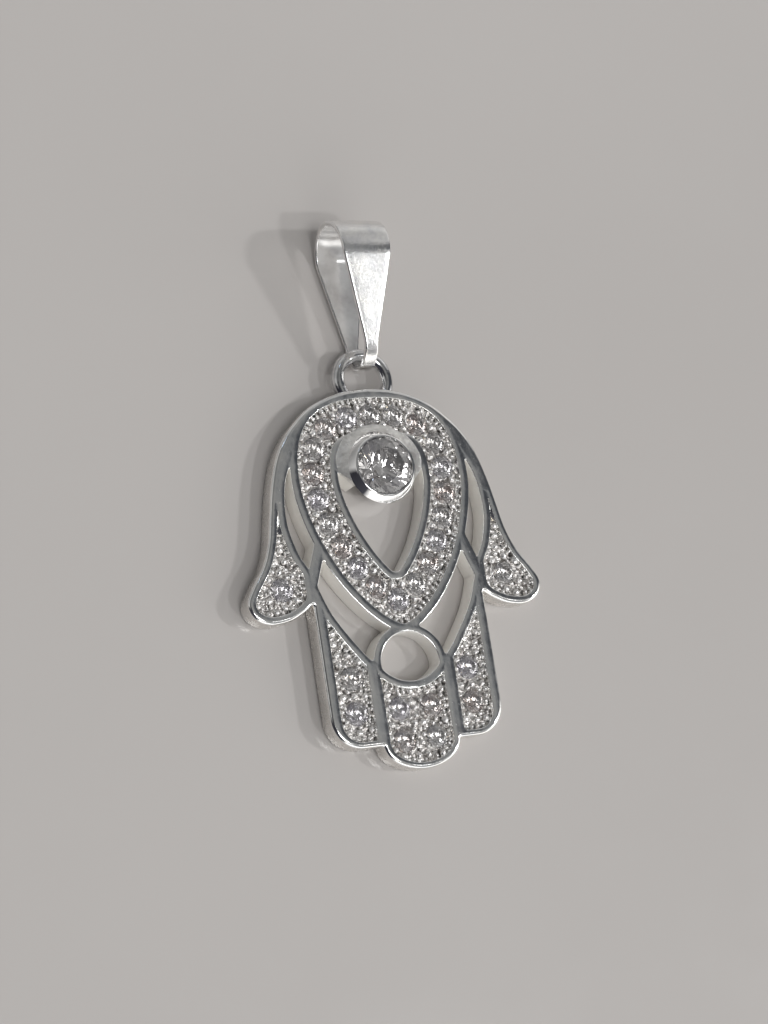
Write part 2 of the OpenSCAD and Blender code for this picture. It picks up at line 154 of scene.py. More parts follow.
def silver(name, colour, dark, gloss, blotch, grain, bump, depth, wave, painted_shade_levels=None, metal=1.0, flecks=0.0):
    """Polished silver with blotches of tone, uneven gloss, dull flecks, slow waves, fine grain and painted
    shade low down.

    gloss is the range of the roughness. blotch and grain are noise scales. bump is the strength of the
    grain's relief, and depth is its depth. wave is the depth of the waves, and the shade levels are the
    heights between which the metal is painted dark, which is painted shade in its low places. These three
    are in millimetres.
    """
    material, nodes, links, shader = node_material(name)
    coords = nodes.new("ShaderNodeTexCoord")
    shader.inputs["Metallic"].default_value = metal
    tone = add_noise(nodes, links, blotch, 4.0, coords.outputs)
    shade = two_tones(nodes, links, tone, 0.35, 0.62, dark, colour)
    # Painted shade: below the given levels the colour turns to the painted shade colour
    if painted_shade_levels:
        split = nodes.new("ShaderNodeSeparateXYZ")
        links.new(coords.outputs["Object"], split.inputs["Vector"])
        mix = nodes.new("ShaderNodeMix")
        mix.data_type = "RGBA"
        mix.inputs["A"].default_value = (*PAINTED_SHADE_COLOUR, 1)
        level = spread(nodes, links, split.outputs["Z"], painted_shade_levels[0] * MM, painted_shade_levels[1] * MM, 0.0, 1.0)
        links.new(level, mix.inputs["Factor"])
        links.new(shade, mix.inputs["B"])
        shade = mix.outputs["Result"]
    links.new(shade, shader.inputs["Base Color"])
    fine = add_noise(nodes, links, grain, 3.0, coords.outputs)
    rough = spread(nodes, links, fine.outputs["Fac"], 0.35, 0.7, *gloss)
    if flecks:
        spots = add_noise(nodes, links, grain * 1.7, 2.0, coords.outputs)
        total = nodes.new("ShaderNodeMath")
        links.new(rough, total.inputs[0])
        links.new(spread(nodes, links, spots.outputs["Fac"], 0.62, 0.78, 0.0, flecks), total.inputs[1])
        rough = total.outputs["Value"]
    links.new(rough, shader.inputs["Roughness"])
    slow = nodes.new("ShaderNodeBump")
    slow.inputs["Distance"].default_value = wave * MM
    waves = add_noise(nodes, links, WAVE_SCALE, 2.0, coords.outputs)
    links.new(waves.outputs["Fac"], slow.inputs["Height"])
    relief = nodes.new("ShaderNodeBump")
    relief.inputs["Strength"].default_value = bump
    relief.inputs["Distance"].default_value = depth * MM
    links.new(fine.outputs["Fac"], relief.inputs["Height"])
    links.new(slow.outputs["Normal"], relief.inputs["Normal"])
    links.new(relief.outputs["Normal"], shader.inputs["Normal"])
    return material


def stone_material(name, colour, rough=0.08):
    """A clear cut stone, slightly dusty: little roughness, a strong bend of light, faint clouds of tint."""
    material, nodes, links, shader = node_material(name)
    coords = nodes.new("ShaderNodeTexCoord")
    shader.inputs["Transmission Weight"].default_value = 0.93
    shader.inputs["IOR"].default_value = 2.15
    shader.inputs["Roughness"].default_value = rough
    cloud = add_noise(nodes, links, 1400.0, 2.0, coords.outputs)
    shade = two_tones(nodes, links, cloud, 0.4, 0.6, colour, PALE_STONE)
    links.new(shade, shader.inputs["Base Color"])
    return material


def table_material():
    """A smooth pale lacquered surface with a soft gloss, faint dust and hair-fine scratches."""
    material, nodes, links, shader = node_material("table_top")
    coords = nodes.new("ShaderNodeTexCoord")
    tone = add_noise(nodes, links, 18.0, 5.0, coords.outputs)
    shade = two_tones(nodes, links, tone, 0.3, 0.7, (0.565, 0.540, 0.522), (0.585, 0.560, 0.542))
    links.new(shade, shader.inputs["Base Color"])
    fine = add_noise(nodes, links, 260.0, 4.0, coords.outputs)
    rough = spread(nodes, links, fine.outputs["Fac"], 0.3, 0.7, 0.09, 0.15)
    links.new(rough, shader.inputs["Roughness"])
    relief = nodes.new("ShaderNodeBump")
    relief.inputs["Strength"].default_value = 0.02
    relief.inputs["Distance"].default_value = 0.02 * MM
    links.new(fine.outputs["Fac"], relief.inputs["Height"])
    links.new(relief.outputs["Normal"], shader.inputs["Normal"])
    shader.inputs["IOR"].default_value = 1.5
    return material


RIM_SILVER = silver(
    "rim_silver", WHITE_SILVER, dark=(0.80, 0.81, 0.81), gloss=(0.08, 0.16),
    blotch=700.0, grain=5200.0, bump=0.3, depth=0.012, wave=0.05, flecks=0.2,
)
WALL_SILVER = silver(
    "wall_silver", (0.88, 0.86, 0.83), dark=(0.77, 0.75, 0.72), gloss=(0.20, 0.32),
    blotch=500.0, grain=2500.0, bump=0.1, depth=0.01, wave=0.02,
)
# The walls of the windows are a lighter, half-diffuse copy of the wall silver: painted light that stands in
# for light bouncing between the walls
WINDOW_PAINTED_LIGHT = silver(
    "window_painted_light", (0.98, 0.965, 0.93), dark=(0.93, 0.91, 0.87), gloss=(0.28, 0.42),
    blotch=500.0, grain=2500.0, bump=0.2, depth=0.02, wave=0.03, metal=0.2,
)
CUP_SILVER = silver(
    "cup_silver", (0.95, 0.94, 0.93), dark=(0.88, 0.88, 0.88), gloss=(0.05, 0.12),
    blotch=700.0, grain=5200.0, bump=0.15, depth=0.008, wave=0.04,
)
# The ring's silver is painted darker than the other silver: painted shade for the dark surroundings that it
# mirrors
RING_SILVER = silver(
    "ring_silver", (0.82, 0.82, 0.82), dark=(0.55, 0.55, 0.56), gloss=(0.06, 0.14),
    blotch=1100.0, grain=3200.0, bump=0.3, depth=0.03, wave=0.05,
)
COLLAR_SILVER = silver(
    "collar_silver", (0.92, 0.91, 0.89), dark=(0.70, 0.69, 0.67), gloss=(0.28, 0.44),
    blotch=2600.0, grain=4200.0, bump=0.8, depth=0.07, wave=0.05,
)
# The pavé, its seats and the beads are painted dark below the floor's level: painted shade in the hollows,
# deep in the seats and at the feet of the beads
PAVE_SILVER = silver(
    "pave_silver", (0.90, 0.88, 0.86), dark=(0.46, 0.43, 0.41), gloss=(0.22, 0.45),
    blotch=3200.0, grain=4200.0, bump=0.8, depth=0.08, wave=0.0, painted_shade_levels=(FLOOR_Z - 0.17, FLOOR_Z - 0.06),
)
BEAD_SILVER = silver(
    "bead_silver", (0.96, 0.95, 0.94), dark=(0.76, 0.74, 0.72), gloss=(0.20, 0.44),
    blotch=3000.0, grain=6000.0, bump=0.7, depth=0.05, wave=0.0, painted_shade_levels=(FLOOR_Z - 0.12, FLOOR_Z - 0.02),
)
BAIL_SILVER = silver(
    "bail_silver", WHITE_SILVER, dark=(0.78, 0.78, 0.79), gloss=(0.17, 0.25),
    blotch=900.0, grain=6500.0, bump=0.4, depth=0.024, wave=0.012,
)
BAIL_INSIDE = silver(
    "bail_inside", (0.96, 0.955, 0.95), dark=(0.66, 0.65, 0.64), gloss=(0.10, 0.22),
    blotch=420.0, grain=900.0, bump=0.1, depth=0.02, wave=0.03, metal=0.55,
)
STONE_TINTS = [
    stone_material("stone_clear", (0.84, 0.80, 0.77)),
    stone_material("stone_warm", (0.74, 0.62, 0.57)),
    stone_material("stone_violet", (0.78, 0.74, 0.80)),
]
MAIN_TINT = stone_material("stone_main", (0.90, 0.87, 0.86), rough=0.04)


# Flat shapes as distances over a grid, negative inside

GRID = 0.06
GRID_X = np.linspace(-177, 177, 355) * GRID
GRID_Y = np.arange(-0.42, 25.0, GRID)
FAR = 1e9
TINY = 1e-12
X, Y = np.meshgrid(GRID_X, GRID_Y)


SMOOTH_STEPS = 6  # from each point to the next


def smooth(shares):
    """A smooth open curve through points that are given as shares of the hand's half width and height."""
    p = np.array(shares) * (HALF_W, HAND_H)
    p = np.vstack([p[:1], p, p[-1:]])
    t = np.linspace(0, 1, SMOOTH_STEPS, endpoint=False)[:, None]
    spans = [
        0.5 * (2 * b + (c - a) * t + (2 * a - 5 * b + 4 * c - d) * t * t + (3 * b - a - 3 * c + d) * t ** 3)
        for a, b, c, d in zip(p, p[1:], p[2:], p[3:])
    ]
    return np.vstack([*spans, p[-1:]])


def polygon(points):
    """The distance from a closed line of points, negative inside it."""
    here = np.array(points, float)
    best = np.full(X.shape, FAR)
    inside = np.zeros(X.shape, bool)
    for (ax, ay), (bx, by) in zip(here, np.roll(here, -1, axis=0)):
        ex, ey = bx - ax, by - ay
        t = np.clip(((X - ax) * ex + (Y - ay) * ey) / max(ex * ex + ey * ey, TINY), 0, 1)
        best = np.minimum(best, (X - ax - t * ex) ** 2 + (Y - ay - t * ey) ** 2)
        crossing = (ay > Y) != (by > Y)
        inside ^= crossing & (X < ax + (Y - ay) * ex / (ey if ey else TINY))
    return np.where(inside, -1, 1) * np.sqrt(best)


def both_sides(right_points):
    """A shape that is the same left and right, from its right edge."""
    return polygon(np.vstack([right_points, right_points[::-1] * (-1, 1)]))


def disc(y, r):
    return np.hypot(X, Y - y) - r


def mirrored(shape):
    return shape[:, ::-1]


EGG_POINTS, EGG_TOP, EGG_FLANK, EGG_TIP = 180, 2.6, 1.7, 0.7


def egg(half, rise, drop):
    """The band's egg: rounder than an ellipse above its widest level, and drawn to a point below."""
    a = np.arange(EGG_POINTS) * 2 * math.pi / EGG_POINTS
    c, s = np.cos(a), np.sin(a)
    top_x = np.abs(c) ** (2 / EGG_TOP)
    low_x = np.maximum(1 - np.maximum(-s, 0) ** EGG_FLANK, 0) ** EGG_TIP
    x = np.sign(c) * half * np.where(s >= 0, top_x, low_x)
    y = EGG_Y + np.where(s >= 0, rise * np.abs(s) ** (2 / EGG_TOP), drop * s)
    return polygon(np.stack([x, y], axis=1))


def middle_finger(inset=0.0, end=0.0):
    """The middle finger, drawn in by inset at its sides and by end at its tip."""
    half = MIDDLE_W / 2 - inset
    a = np.linspace(-math.pi / 2, 0, 24)
    tip = np.stack([half * np.cos(a), MIDDLE_ROUND + (MIDDLE_ROUND - end) * np.sin(a)], axis=1)
    return both_sides(np.vstack([tip, [[half, HAND_H * FINGER_SHARE]]]))


def side_finger(inner=0.0, inset=0.0, end=0.0):
    """The right finger, from the inner level outwards, drawn in like the middle one."""
    outer, r, base = FINGERS_W / 2 - inset, SIDE_ROUND - inset, SIDE_STEP + end
    a = np.linspace(0, math.pi / 2, 14)
    corner = np.stack([outer - r + r * np.sin(a), base + r - r * np.cos(a)], axis=1)
    top = HAND_H * FINGER_SHARE
    return polygon([(inner, top), (inner, base), *corner, (outer, top)])


body = both_sides(smooth(BODY))
finger = side_finger()
HAND = np.minimum.reduce([body, middle_finger(), finger, mirrored(finger)])
leaf = both_sides(smooth(LEAF))
band_outer = egg(BAND_OUTER_W / 2, BAND_RISE, BAND_DROP)


def rounded(shape, r):
    """Corners that point outwards are rounded: the shape is drawn in by r and let out again."""
    core = contours(shape + r)
    return polygon_set(core) - r if core else shape


def polygon_set(loops):
    """The distance from the nearest of some closed lines."""
    return np.minimum.reduce([polygon(p) for p in loops])


# The sides of a grid cell, 0 below, 1 right, 2 above and 3 left, that an edge enters and leaves by. The key
# adds 1, 2, 4 and 8 for the corners inside the shape, from the lower left one round to the upper left one.
EXITS = {
    1: "03", 2: "10", 3: "13", 4: "21", 5: "0321", 6: "20", 7: "23", 8: "32", 9: "02",
    10: "1032", 11: "12", 12: "31", 13: "01", 14: "30",
}
CORNERS = {"0": ((0, 0), (0, 1)), "1": ((0, 1), (1, 1)), "2": ((1, 0), (1, 1)), "3": ((0, 0), (1, 0))}
SHORT_LOOP = 12  # loops of this many points or fewer are specks of the grid


def contours(shape):
    """Closed loops along the edge of a shape, each with the shape on its left."""
    inside = shape < 0
    code = inside[:-1, :-1] * 1 + inside[:-1, 1:] * 2 + inside[1:, 1:] * 4 + inside[1:, :-1] * 8
    following, place = {}, {}

    def crossing(row, col, side):
        a, b = CORNERS[side]
        a, b = (row + a[0], col + a[1]), (row + b[0], col + b[1])
        fa, fb = shape[a], shape[b]
        t = fa / (fa - fb)
        place[a, b] = (X[a] + (X[b] - X[a]) * t, Y[a] + (Y[b] - Y[a]) * t)
        return a, b

    for row, col in zip(*np.nonzero((code > 0) & (code < 15))):
        sides = EXITS[int(code[row, col])]
        for k in range(0, len(sides), 2):
            start = crossing(row, col, sides[k])
            following[start] = crossing(row, col, sides[k + 1])
    loops = []
    while following:
        key = next(iter(following))
        loop = []
        while key in following:
            loop.append(place[key])
            key = following.pop(key)
        if len(loop) > SHORT_LOOP:
            loops.append(np.array(loop))
    return loops


def even(loop, step=0.075):
    """The loop with its grid steps smoothed out and its points evenly spaced."""
    for _ in range(3):
        loop = (np.roll(loop, 1, axis=0) + 2 * loop + np.roll(loop, -1, axis=0)) / 4
    closed = np.vstack([loop, loop[:1]])
    run = np.concatenate([[0], np.cumsum(np.hypot(*np.diff(closed, axis=0).T))])
    at = np.linspace(0, run[-1], max(int(run[-1] / step), 12), endpoint=False)
    return np.stack([np.interp(at, run, closed[:, k]) for k in (0, 1)], axis=1)


ISLAND = polygon_set(contours(band_outer + BAND_W + INNER_TIP)) - INNER_TIP
bar_a, bar_b = (np.array(p) * (HALF_W, HAND_H) for p in BAR)
bar_side = np.array([-(bar_b - bar_a)[1], (bar_b - bar_a)[0]]) / np.hypot(*(bar_b - bar_a)) * BAR_W / 2
bar = polygon([bar_a - bar_side, bar_b - bar_side, bar_b + bar_side, bar_a + bar_side])
SIDE_WINDOWS = np.maximum.reduce([
    leaf, RIDGE - band_outer, -disc(ARCH_Y, ARCH_D / 2 + RIM), -bar, -mirrored(bar),
])
collar_low = np.array(COLLAR_EDGE) * COLLAR_R + (0.0, CUP_Y)
COLLAR_AREA = both_sides(np.vstack([collar_low, [[HALF_W, collar_low[2, 1]], [HALF_W, HAND_H]]]))
TEARDROP = np.maximum(ISLAND + RIM, -COLLAR_AREA)
CUP_HOLE_R = FOOT_R - 0.04
MIDDLE_WINDOW = np.minimum(TEARDROP, disc(CUP_Y, CUP_HOLE_R))
SMALL_WINDOW = np.maximum(disc(ARCH_Y, ARCH_D / 2), disc(SILL_Y, SILL_R))
BAND_ISLAND = np.minimum(ISLAND, disc(CUP_Y, COLLAR_R))
MIDDLE_PANEL = np.maximum.reduce([
    middle_finger(MIDDLE_RIM, END_RIM), -disc(SILL_Y, SILL_R + RIM), Y - SILL_Y + RIM,
])
side_area = side_finger(MIDDLE_W / 2 + JOIN_RIM, OUTER_RIM, END_RIM)
SIDE_PANEL = np.maximum.reduce([side_area, RIM - leaf, Y - HAND_H * SIDE_PANEL_SHARE])
thumb_area = np.maximum.reduce([
    body + RIM, RIM - leaf, FINGERS_W / 2 + JOIN_RIM - X, Y - HAND_H * THUMB_PANEL_SHARE,
])
THUMB_PANEL = np.minimum(
    rounded(thumb_area, THUMB_CORNER),
    np.maximum(thumb_area, HAND_H * THUMB_NECK_SHARE - Y),
)
BAND_PANEL = np.maximum(band_outer, -BAND_ISLAND)
PANELS = np.minimum.reduce([
    BAND_PANEL, MIDDLE_PANEL, SIDE_PANEL, mirrored(SIDE_PANEL), THUMB_PANEL, mirrored(THUMB_PANEL),
])


# Mesh pieces

def to_frame(points):
    """Points of the hand's drawing, in millimetres, as points of the frame, in metres."""
    return [Vector((x, y - MID_Y, z)) * MM for x, y, z in points]


WELD = 0.0005


def make_piece(name, points, faces, material, sharp=35.0, flat_back=False, weld=True):
    """A piece of the hand or bail, smooth but for edges that turn by more than the sharp angle."""
    mesh = bpy.data.meshes.new(name)
    mesh.from_pydata(to_frame(points), [], faces)
    bm = bmesh.new()
    bm.from_mesh(mesh)
    if weld:
        bmesh.ops.remove_doubles(bm, verts=bm.verts, dist=WELD * MM)
    bm.normal_update()
    for face in bm.faces:
        face.smooth = True
    for edge in bm.edges:
        if len(edge.link_faces) == 2:
            a, b = (f.normal for f in edge.link_faces)
            cap_edge = flat_back and (a.z < -0.9999) != (b.z < -0.9999)
            edge.smooth = not cap_edge and a.dot(b) > math.cos(math.radians(sharp))
    bm.to_mesh(mesh)
    bm.free()
    mesh.materials.append(material)
    piece = bpy.data.objects.new(name, mesh)
    bpy.context.collection.objects.link(piece)
    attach(piece, "root")
    return piece


def corner_arc(radius, steps=4):
    """Down and outwards round the top edge of a wall: (distance out, depth)."""
    return [
        (radius * (math.sin(a) - 1), radius * (1 - math.cos(a)))
        for a in (k * math.pi / 2 / steps for k in range(steps + 1))
    ]


# How far each place on the rims is from the nearest edge of the metal
OUTLINE = polygon_set(contours(HAND))
EDGE = np.minimum.reduce([-OUTLINE, SIDE_WINDOWS, MIDDLE_WINDOW, SMALL_WINDOW, PANELS])
# Radii of the rounded edges on the face, then of those on the back
OUTER_ROUND, WINDOW_ROUND, PANEL_ROUND = 0.22, 0.06, 0.03
OUTER_BACK, WINDOW_BACK = 0.2, 0.08
DOME_W, DOME_H = 0.3, 0.02
BAND_SLOPE, PANEL_SLOPE = 0.18, 0.16  # how far the bright cuts reach into the panels
WALL_FOOT = 0.1  # how far they run below the panels' floor
CLEAR = 0.035  # gap between the walls and the inner points of the caps


def dome(distance):
    """The polish leaves the rims slightly lower towards their edges."""
    return DOME_H * max(1 - distance / DOME_W, 0.0) ** 2


def sample(shape, x, y):
    """The value of a grid at a place, between its four nearest points."""
    col, row = (x - GRID_X[0]) / GRID, (y - GRID_Y[0]) / GRID
    i, j = min(max(int(row), 0), shape.shape[0] - 2), min(max(int(col), 0), shape.shape[1] - 2)
    u, v = row - i, col - j
    low = shape[i, j] * (1 - v) + shape[i, j + 1] * v
    high = shape[i + 1, j] * (1 - v) + shape[i + 1, j + 1] * v
    return low * (1 - u) + high * u


class Plate:
    """Walls round the loops of the plate, and the caps between them."""

    def __init__(self):
        self.points, self.faces = [], []
        self.top, self.bottom = [], []

    def wall(self, loop, profile, void_left, caps):
        """A wall along a loop by its profile of (distance out, height), with the rows that caps meet."""
        ahead, behind = np.roll(loop, -1, axis=0), np.roll(loop, 1, axis=0)
        tangent = ahead - behind
        tangent /= np.hypot(tangent[:, 0], tangent[:, 1])[:, None]
        out = np.stack([-tangent[:, 1], tangent[:, 0]], axis=1) * (1 if void_left else -1)
        n, first = len(loop), len(self.points)
        for reach, z in profile:
            self.points += [(x, y, z) for x, y in loop + out * reach]
        for k in range(len(profile) - 1):
            for i in range(n):
                a, b = first + k * n + i, first + k * n + (i + 1) % n
                quad = (a, b, b + n, a + n)
                self.faces.append(quad if void_left else quad[::-1])
        for name, row in caps.items():
            getattr(self, name).append((loop + out * profile[row][0], profile[row][1]))

    def cap(self, loops, inner, up):
        """A cap between loops, each with its level, that runs through the inner points (x, y, z)."""
        flat = [Vector(p) for loop, _ in loops for p in loop]
        levels = [z for loop, z in loops for _ in loop] + [z for _, _, z in inner]
        flat += [Vector((x, y)) for x, y, _ in inner]
        starts = np.concatenate([[0], np.cumsum([len(p) for p, _ in loops])])
        rings = [list(range(starts[k], starts[k + 1])) for k in range(len(loops))]
        points, _, faces, sources, _, within = geometry.delaunay_2d_cdt(flat, [], rings, 1, 1e-7)
        first = len(self.points)
        heights = [levels[source[0]] if source else PLATE_T for source in sources]
        self.points += [(p.x, p.y, z) for p, z in zip(points, heights)]
        for face, owners in zip(faces, within):
            if len(owners) % 2:
                a, b, c = (first + k for k in face)
                self.faces.append((a, b, c) if up else (a, c, b))


def through(edge, low):
    """A wall through the plate, rounded at its two edges."""
    top = PLATE_T - dome(edge)
    return [(r, top - d) for r, d in corner_arc(edge)] + [(r, d) for r, d in reversed(corner_arc(low))]


def sunk(reach):
    """A panel's wall: a bright cut that slopes towards the stones."""
    top = PLATE_T - dome(PANEL_ROUND)
    return [(r, top - d) for r, d in corner_arc(PANEL_ROUND)] + [(reach, FLOOR_Z - WALL_FOOT)]


def build_plate():
    """The hand without its panels' floors: caps on the face and the back, and all the walls."""
    plate = Plate()
    both = {"top": 0, "bottom": -1}
    outside, inside = through(OUTER_ROUND, OUTER_BACK), through(WINDOW_ROUND, WINDOW_BACK)
    for loop in contours(HAND):
        plate.wall(even(loop), outside, False, both)
    for shape in (SIDE_WINDOWS, MIDDLE_WINDOW, SMALL_WINDOW):
        for loop in contours(shape):
            plate.wall(even(loop), inside, True, both)
    # The walls of the sunk panels slope down to the stones with a bright cut
    for loop in contours(band_outer):
        plate.wall(even(loop), sunk(BAND_SLOPE), True, {"top": 0})
    for loop in contours(BAND_ISLAND):
        plate.wall(even(loop), sunk(BAND_SLOPE), False, {"top": 0})
    for shape in (MIDDLE_PANEL, SIDE_PANEL, mirrored(SIDE_PANEL), THUMB_PANEL, mirrored(THUMB_PANEL)):
        for loop in contours(shape):
            plate.wall(even(loop), sunk(PANEL_SLOPE), True, {"top": 0})
    clear = np.minimum.reduce([
        -OUTLINE - OUTER_ROUND, SIDE_WINDOWS - WINDOW_ROUND, MIDDLE_WINDOW - WINDOW_ROUND,
        SMALL_WINDOW - WINDOW_ROUND, PANELS - PANEL_ROUND,
    ])
    inner = [(X[k], Y[k], PLATE_T - dome(EDGE[k])) for k in zip(*np.nonzero(clear > CLEAR))]
    plate.cap(plate.top, inner, True)
    plate.cap(plate.bottom, [], False)
    piece = make_piece("hand_plate", plate.points, plate.faces, RIM_SILVER, flat_back=True)
    piece.data.materials.append(WALL_SILVER)
    piece.data.materials.append(WINDOW_PAINTED_LIGHT)
    # Upright faces near the outline are the outer walls, and the others are walls of windows, which get the
    # lighter copy as painted bounce light
    for face in piece.data.polygons:
        if abs(face.normal.z) < 0.2:
            x, y = face.center.x / MM, face.center.y / MM + MID_Y
            face.material_index = 1 if sample(OUTLINE, x, y) > -0.3 else 2
    return piece


# The panels' floors, the seats under the stones and the beads

STONES = []
BAND_STONES = 20  # the first of them stand round the band
for number in range(1, 31):
    low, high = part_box(f"small_stone_{number}")
    STONES.append(((low.x + high.x) / 2 / MM, (low.y + high.y) / 2 / MM + MID_Y))


def build_floors():
    """The rough ground between the stones, on the points of the grid."""
    hide, sink, rough, fineness = 0.14, 0.06, 0.1, 3.0  # the floors run on under the rims
    use = PANELS < hide
    for x, y in STONES:
        use &= np.hypot(X - x, Y - y) > STONE_D / 2 + SEAT_GAP * 0.5
    index = -np.ones(X.shape, int)
    points, faces = [], []
    cells = use[:-1, :-1] & use[:-1, 1:] & use[1:, 1:] & use[1:, :-1]

    def corner(row, col):
        if index[row, col] < 0:
            x, y = X[row, col], Y[row, col]
            lift = noise.fractal(Vector((x * fineness, y * fineness, fineness)), 0.7, 2.1, 4) * rough
            index[row, col] = len(points)
            points.append((x, y, FLOOR_Z - sink + lift))
        return index[row, col]

    for row, col in zip(*np.nonzero(cells)):
        cell = (row, col), (row, col + 1), (row + 1, col + 1), (row + 1, col)
        faces.append(tuple(corner(*place) for place in cell))
    return make_piece("panel_floors", points, faces, PAVE_SILVER, weld=False)


def lathe(profile, segments, centre=(0.0, 0.0)):
    """Points and faces of a profile of (radius, height) turned round an upright axis."""
    points = []
    for k in range(segments):
        a = math.radians(360.0 * k / segments)
        points += [(centre[0] + r * math.cos(a), centre[1] + r * math.sin(a), z) for r, z in profile]
    n = len(profile)
    faces = []
    for k in range(segments):
        a, b = k * n, (k + 1) % segments * n
        faces += [(a + i, b + i, b + i + 1, a + i + 1) for i in range(n - 1)]
    return points, faces


def join(parts):
    """The points and faces of several shapes as those of one."""
    points, faces = [], []
    for some_points, some_faces in parts:
        first = len(points)
        points += some_points
        faces += [tuple(first + k for k in face) for face in some_faces]
    return points, faces


def build_seats():
    """A conical seat round each small stone, with a narrow lip."""
    r = STONE_D / 2 + SEAT_GAP
    profile = [
        (0.03, FLOOR_Z - r * 0.84), (r - 0.03, FLOOR_Z + 0.01), (r, FLOOR_Z), (r + 0.12, FLOOR_Z - 0.1),
    ]
    seats = [lathe(profile, 28, spot) for spot in STONES]
    return make_piece("stone_seats", *join(seats), PAVE_SILVER, sharp=30.0)


BALL_SEGMENTS, BALL_RINGS = 12, 7


def ball(x, y, z, r):
    """A bead that is a little longer one way, turned to any side, with its top pushed off its middle."""
    profile = [
        (r * math.cos(a), z + r * math.sin(a))
        for a in (math.radians(-30 + 120 * k / BALL_RINGS) for k in range(BALL_RINGS + 1))
    ]
    profile[-1] = (0.001, z + r)
    points, faces = lathe(profile, BALL_SEGMENTS)
    turn, longer = rng.uniform(0, math.pi), rng.uniform(1.0, 1.22)
    c, s = math.cos(turn), math.sin(turn)
    lean_x, lean_y = rng.uniform(-0.2, 0.2), rng.uniform(-0.2, 0.2)
    moved = []
    for px, py, pz in points:
        px, py = px * longer, py / longer
        rise = pz - z
        moved.append((x + px * c - py * s + lean_x * rise, y + px * s + py * c + lean_y * rise, pz))
    return moved, faces


def near(spots, x, y):
    """How far a place is from the nearest of some round spots (x, y, radius)."""
    return min((math.hypot(x - a, y - b) - r for a, b, r in spots), default=9.0)


def build_beads():
    """Beads beside each gap in the band, those set one by one, and small grains that fill the rest."""
    reach = STONE_D / 2 + SEAT_GAP + BEAD_D / 2
    band = STONES[:BAND_STONES]
    spots = []
    for (ax, ay), (bx, by) in zip(band, band[1:] + band[:1]):
        half = math.hypot(bx - ax, by - ay) / 2
        off = math.sqrt(max(reach * reach - half * half, 0))
        nx, ny = -(by - ay) / (2 * half), (bx - ax) / (2 * half)
        spots += [((ax + bx) / 2 + k * off * nx, (ay + by) / 2 + k * off * ny, BEAD_D / 2) for k in (1, -1)]
    for x, y in SET_BEADS:
        spots += [(side * x * HALF_W, y * HAND_H, BEAD_D / 2) for side in (1, -1)]
    stones = [(x, y, STONE_D / 2) for x, y in STONES]
    # Six smaller beads round each stone, where there is room
    for x, y in STONES:
        turn = rng.uniform(0, 60)
        for k in range(6):
            a, r = math.radians(60 * k + turn + rng.uniform(-10, 10)), rng.uniform(0.13, 0.18)
            away = STONE_D / 2 + r * 0.75
            px, py = x + away * math.cos(a), y + away * math.sin(a)
            if sample(PANELS, px, py) < -r * 0.7 and near(spots, px, py) > r * 0.5:
                spots.append((px, py, r))
    # A row of grains along the panels' edges, and more that fill the rest
    for loop in contours(PANELS + 0.2):
        for x, y in even(loop, 0.4):
            r = rng.uniform(0.12, 0.17)
            if near(stones, x, y) > r * 0.5 and near(spots, x, y) > r * 0.6:
                spots.append((x, y, r))
    for r, tries in ((0.21, 4000), (0.16, 5000), (0.12, 6000)):
        for _ in range(tries):
            x, y = rng.uniform(-HALF_W, HALF_W), rng.uniform(0.0, HAND_H)
            inside = sample(PANELS, x, y) < -r * 0.9
            if inside and near(stones, x, y) > r * 0.8 and near(spots, x, y) > r * 1.1:
                spots.append((x, y, r))
    balls = []
    for x, y, r in spots:
        lift = rng.uniform(0.15, 0.5)
        balls.append(ball(x, y, FLOOR_Z + r * lift, r * rng.uniform(0.92, 1.04)))
    return make_piece("beads", *join(balls), BEAD_SILVER, sharp=80.0)


# The cup, its collar and the ring

def build_cup():
    """A tapered cup with a long slope up to the lip that holds the middle stone, and a seat inside."""
    lip, low, wide = MAIN_D / 2 * 0.93, CUP_Z - CUP_EDGE * 2, CUP_R + 0.06
    hole, stone, seat = FOOT_R - CUP_WALL, MAIN_D / 2, MAIN_D / 2 + SEAT_GAP
    profile = [
        (hole, CUP_FOOT), (FOOT_R, CUP_FOOT), (FOOT_R + 0.03, CUP_FOOT + 0.03), (CUP_R - 0.06, low - 0.12),
        (wide - 0.02, low - 0.03), (wide, low), (wide - 0.05, low + 0.07), (stone + 0.06, CUP_Z - 0.07),
        (stone, CUP_Z - 0.015), (stone - 0.06, CUP_Z), (lip + 0.02, CUP_Z - 0.005), (lip, CUP_Z - 0.03),
        (seat, CUP_Z - 0.16), (seat, CUP_Z - 0.34), (hole, CUP_Z - 0.88), (hole, CUP_FOOT),
    ]
    return make_piece("cup", *lathe(profile, 128, (0.0, CUP_Y)), CUP_SILVER, sharp=30.0)


